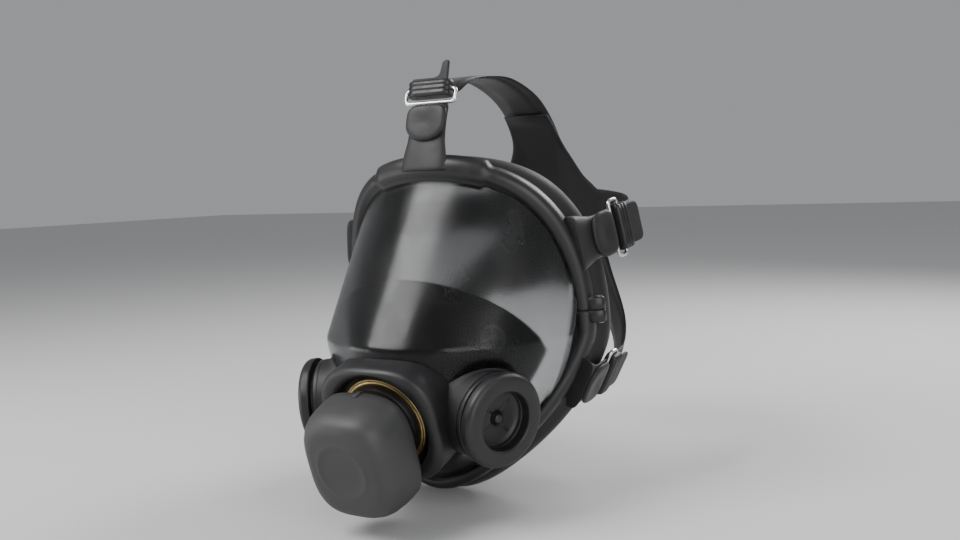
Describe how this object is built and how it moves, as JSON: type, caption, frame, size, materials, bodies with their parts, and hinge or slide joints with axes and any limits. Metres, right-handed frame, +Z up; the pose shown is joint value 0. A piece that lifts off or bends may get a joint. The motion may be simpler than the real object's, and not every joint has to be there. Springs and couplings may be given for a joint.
{
  "type": "full face respirator",
  "caption": "Full face respirator with a curved lens, rubber seal, inner cup, side inlet ports, a covered front outlet valve and a strap harness on wire buckles.",
  "frame": {"origin": "middle of the face opening, on the centre line, level with the widest part of the lens", "axes": "+Z up, -Y the way the wearer looks, +X the wearer's left"},
  "size_m": [0.2202, 0.2996, 0.2887],
  "materials": {
    "lens": "clear, grey tint",
    "frame": "satin black",
    "screws": "dark steel",
    "seal_rubber": "matt black",
    "cup_rubber": "matt dark grey",
    "valve_plastic": "satin",
    "valve_rubber": "matt",
    "port_plastic": "satin black",
    "base_plastic": "satin black",
    "nut_plastic": "satin",
    "housing_plastic": "satin black",
    "neck_plastic": "satin black",
    "brass": "turned, slightly dull",
    "cover_plastic": "satin mid grey",
    "wire_steel": "bright wire",
    "slider_plastic": "satin black",
    "strap_rubber": "matt black"
  },
  "bodies": {
    "mask": {"lens": "lens", "lens_frame_upper": "frame", "lens_frame_lower": "frame", "frame_screws": "screws", "face_seal": "seal_rubber", "nose_cup": "cup_rubber", "cup_valve_seat_left": "valve_plastic", "cup_valve_seat_right": "valve_plastic", "side_port_left": "port_plastic", "side_base_left": "base_plastic", "side_nut_left": "nut_plastic", "side_port_right": "port_plastic", "side_base_right": "base_plastic", "side_nut_right": "nut_plastic", "front_housing": "housing_plastic", "port_neck": "neck_plastic", "brass_ring": "brass", "front_nut": "nut_plastic", "exhale_seat": "valve_plastic", "strap_lug_top": "seal_rubber", "strap_lug_upper_left": "seal_rubber", "strap_lug_upper_right": "seal_rubber", "strap_lug_lower_left": "seal_rubber", "strap_lug_lower_right": "seal_rubber", "head_harness": "strap_rubber"},
    "cover": {"front_cover": "cover_plastic"},
    "exhale_valve": {"exhale_valve": "valve_rubber"},
    "inhale_flap_left": {"inhale_flap_left": "valve_rubber"},
    "inhale_flap_right": {"inhale_flap_right": "valve_rubber"},
    "cup_flap_left": {"cup_valve_flap_left": "valve_rubber"},
    "cup_flap_right": {"cup_valve_flap_right": "valve_rubber"},
    "buckle_top": {"buckle_wire_top": "wire_steel", "strap_slider_top": "slider_plastic"},
    "tail_top": {"strap_tail_top": "strap_rubber"},
    "buckle_upper_left": {"buckle_wire_upper_left": "wire_steel", "strap_slider_upper_left": "slider_plastic"},
    "tail_upper_left": {"strap_tail_upper_left": "strap_rubber"},
    "buckle_upper_right": {"buckle_wire_upper_right": "wire_steel", "strap_slider_upper_right": "slider_plastic"},
    "tail_upper_right": {"strap_tail_upper_right": "strap_rubber"},
    "buckle_lower_left": {"buckle_wire_lower_left": "wire_steel", "strap_slider_lower_left": "slider_plastic"},
    "tail_lower_left": {"strap_tail_lower_left": "strap_rubber"},
    "buckle_lower_right": {"buckle_wire_lower_right": "wire_steel", "strap_slider_lower_right": "slider_plastic"},
    "tail_lower_right": {"strap_tail_lower_right": "strap_rubber"}
  },
  "joints": [
    {"name": "cover_pull", "type": "slide", "parent": "mask", "child": "cover", "axis": [0, -0.9511, -0.309], "range_m": [0, 0.035]},
    {"name": "exhale_valve_lift", "type": "slide", "parent": "mask", "child": "exhale_valve", "axis": [0, -0.9511, -0.309], "range_m": [0, 0.002], "stiffness_N_per_m": 40, "springref_m": -0.001},
    {"name": "inhale_flap_left_lift", "type": "slide", "parent": "mask", "child": "inhale_flap_left", "axis": [-0.9285, 0.3564, 0.1045], "range_m": [0, 0.0015], "stiffness_N_per_m": 30, "springref_m": -0.001},
    {"name": "inhale_flap_right_lift", "type": "slide", "parent": "mask", "child": "inhale_flap_right", "axis": [0.9285, 0.3564, 0.1045], "range_m": [0, 0.0015], "stiffness_N_per_m": 30, "springref_m": -0.001},
    {"name": "cup_flap_left_lift", "type": "slide", "parent": "mask", "child": "cup_flap_left", "axis": [-0.8004, 0.5003, -0.3302], "range_m": [0, 0.001], "stiffness_N_per_m": 30, "springref_m": -0.001},
    {"name": "cup_flap_right_lift", "type": "slide", "parent": "mask", "child": "cup_flap_right", "axis": [0.8004, 0.5003, -0.3302], "range_m": [0, 0.001], "stiffness_N_per_m": 30, "springref_m": -0.001},
    {"name": "buckle_top_swing", "type": "hinge", "parent": "mask", "child": "buckle_top", "pos_m": [0, 0.0119, 0.1407], "axis": [1, 0, 0], "range_deg": [0, 30]},
    {"name": "tail_top_pull", "type": "slide", "parent": "buckle_top", "child": "tail_top", "axis": [0, 0.258, 0.9661], "range_m": [0, 0.008]},
    {"name": "buckle_upper_left_swing", "type": "hinge", "parent": "mask", "child": "buckle_upper_left", "pos_m": [0.099, 0.0761, 0.0547], "axis": [0.1435, 0.162, -0.9763], "range_deg": [0, 30]},
    {"name": "tail_upper_left_pull", "type": "slide", "parent": "buckle_upper_left", "child": "tail_upper_left", "axis": [0.2214, 0.9562, 0.1912], "range_m": [0, 0.008]},
    {"name": "buckle_upper_right_swing", "type": "hinge", "parent": "mask", "child": "buckle_upper_right", "pos_m": [-0.099, 0.0761, 0.0547], "axis": [0.1435, -0.162, 0.9763], "range_deg": [0, 30]},
    {"name": "tail_upper_right_pull", "type": "slide", "parent": "buckle_upper_right", "child": "tail_upper_right", "axis": [-0.2214, 0.9562, 0.1912], "range_m": [0, 0.008]},
    {"name": "buckle_lower_left_swing", "type": "hinge", "parent": "mask", "child": "buckle_lower_left", "pos_m": [0.0905, 0.0682, -0.0427], "axis": [-0.4656, 0.1174, -0.8772], "range_deg": [0, 30]},
    {"name": "tail_lower_left_pull", "type": "slide", "parent": "buckle_lower_left", "child": "tail_lower_left", "axis": [0.0605, 0.9931, 0.1008], "range_m": [0, 0.008]},
    {"name": "buckle_lower_right_swing", "type": "hinge", "parent": "mask", "child": "buckle_lower_right", "pos_m": [-0.0905, 0.0682, -0.0427], "axis": [-0.4656, -0.1174, 0.8772], "range_deg": [0, 30]},
    {"name": "tail_lower_right_pull", "type": "slide", "parent": "buckle_lower_right", "child": "tail_lower_right", "axis": [-0.0605, 0.9931, 0.1008], "range_m": [0, 0.008]}
  ]
}
